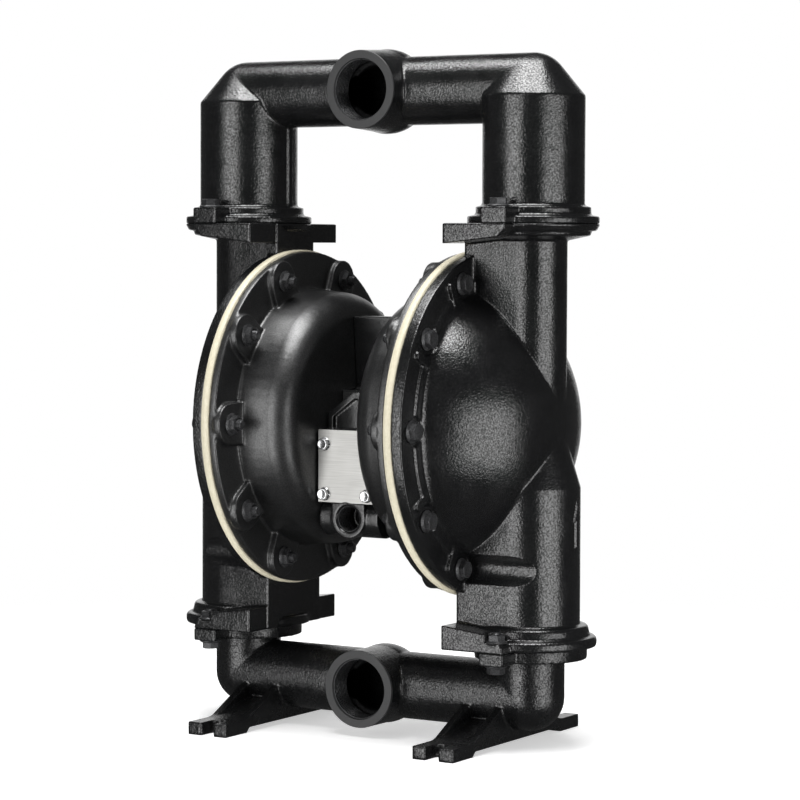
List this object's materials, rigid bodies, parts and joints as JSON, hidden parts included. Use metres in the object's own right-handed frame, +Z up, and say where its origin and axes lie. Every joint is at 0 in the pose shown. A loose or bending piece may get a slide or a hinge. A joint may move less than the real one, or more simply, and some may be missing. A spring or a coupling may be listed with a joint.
{
  "type": "air-operated double diaphragm pump",
  "caption": "Air-operated double diaphragm pump: round diaphragm chambers on a common rod, ball check valves and arched pipe manifolds standing on slotted feet.",
  "frame": {"origin": "on the floor, under the middle of the diaphragm rod", "axes": "+X along the diaphragm rod to the right-hand chamber, +Y away from the pipe ports, +Z up"},
  "size_m": [0.449, 0.33, 0.6644],
  "materials": {
    "cast_black": "gloss black paint over a fine sand-cast texture",
    "cap_black": "satin black paint, smoother than the manifolds",
    "oxide_steel": "dark oxide with worn edges",
    "bright_steel": "bright turned steel",
    "plate_silver": "finely brushed, bare",
    "screw_chrome": "bright zinc",
    "diaphragm_cream": "matte cream elastomer",
    "ball_white": "smooth off-white elastomer",
    "seal_black": "matte black elastomer",
    "bronze": "machined bronze",
    "valve_plastic": "machined dark plastic"
  },
  "bodies": {
    "pump": {"top_manifold": "cast_black", "bottom_manifold": "cast_black", "right_fluid_cap": "cast_black", "left_fluid_cap": "cast_black", "right_air_cap": "cap_black", "left_air_cap": "cap_black", "center_body": "cast_black", "right_diaphragm": "diaphragm_cream", "left_diaphragm": "diaphragm_cream", "right_hub_oring": "seal_black", "left_hub_oring": "seal_black", "right_rod_bush": "bronze", "left_rod_bush": "bronze", "right_rod_seal": "seal_black", "left_rod_seal": "seal_black", "right_top_ball_seat": "ball_white", "left_top_ball_seat": "ball_white", "right_bottom_ball_seat": "ball_white", "left_bottom_ball_seat": "ball_white", "right_top_seat_oring": "seal_black", "left_top_seat_oring": "seal_black", "right_bottom_seat_oring": "seal_black", "left_bottom_seat_oring": "seal_black", "valve_chest": "cast_black", "valve_gasket": "seal_black", "valve_sleeve": "bright_steel", "right_valve_plug": "valve_plastic", "left_valve_plug": "valve_plastic", "cover_plate": "plate_silver", "plate_screws": "screw_chrome", "right_cap_bolts": "oxide_steel", "left_cap_bolts": "oxide_steel", "right_cap_nuts": "oxide_steel", "left_cap_nuts": "oxide_steel", "top_joint_bolts": "oxide_steel", "bottom_joint_bolts": "oxide_steel", "bottom_joint_nuts": "oxide_steel", "right_air_cap_screws": "oxide_steel", "left_air_cap_screws": "oxide_steel"},
    "rod_assembly": {"diaphragm_rod": "bright_steel", "right_diaphragm_screw": "oxide_steel", "left_diaphragm_screw": "oxide_steel", "right_air_side_washer": "bright_steel", "left_air_side_washer": "bright_steel", "right_fluid_side_washer": "bright_steel", "left_fluid_side_washer": "bright_steel"},
    "main_spool": {"valve_spool": "valve_plastic"},
    "pilot": {"pilot_pin": "bright_steel"},
    "ball_right_top": {"right_top_check_ball": "ball_white"},
    "ball_left_top": {"left_top_check_ball": "ball_white"},
    "ball_right_bottom": {"right_bottom_check_ball": "ball_white"},
    "ball_left_bottom": {"left_bottom_check_ball": "ball_white"}
  },
  "joints": [
    {"name": "rod_stroke", "type": "slide", "parent": "pump", "child": "rod_assembly", "axis": [1, 0, 0], "range_m": [-0.022, 0.022], "deforming": ["right_diaphragm", "left_diaphragm"]},
    {"name": "spool_shift", "type": "slide", "parent": "pump", "child": "main_spool", "axis": [1, 0, 0], "range_m": [-0.006, 0.006]},
    {"name": "pilot_shift", "type": "slide", "parent": "pump", "child": "pilot", "axis": [1, 0, 0], "range_m": [-0.008, 0.008]},
    {"name": "right_top_ball_lift", "type": "slide", "parent": "pump", "child": "ball_right_top", "axis": [0, 0, 1], "range_m": [0, 0.015]},
    {"name": "left_top_ball_lift", "type": "slide", "parent": "pump", "child": "ball_left_top", "axis": [0, 0, 1], "range_m": [0, 0.015]},
    {"name": "right_bottom_ball_lift", "type": "slide", "parent": "pump", "child": "ball_right_bottom", "axis": [0, 0, 1], "range_m": [0, 0.015]},
    {"name": "left_bottom_ball_lift", "type": "slide", "parent": "pump", "child": "ball_left_bottom", "axis": [0, 0, 1], "range_m": [0, 0.015]}
  ]
}
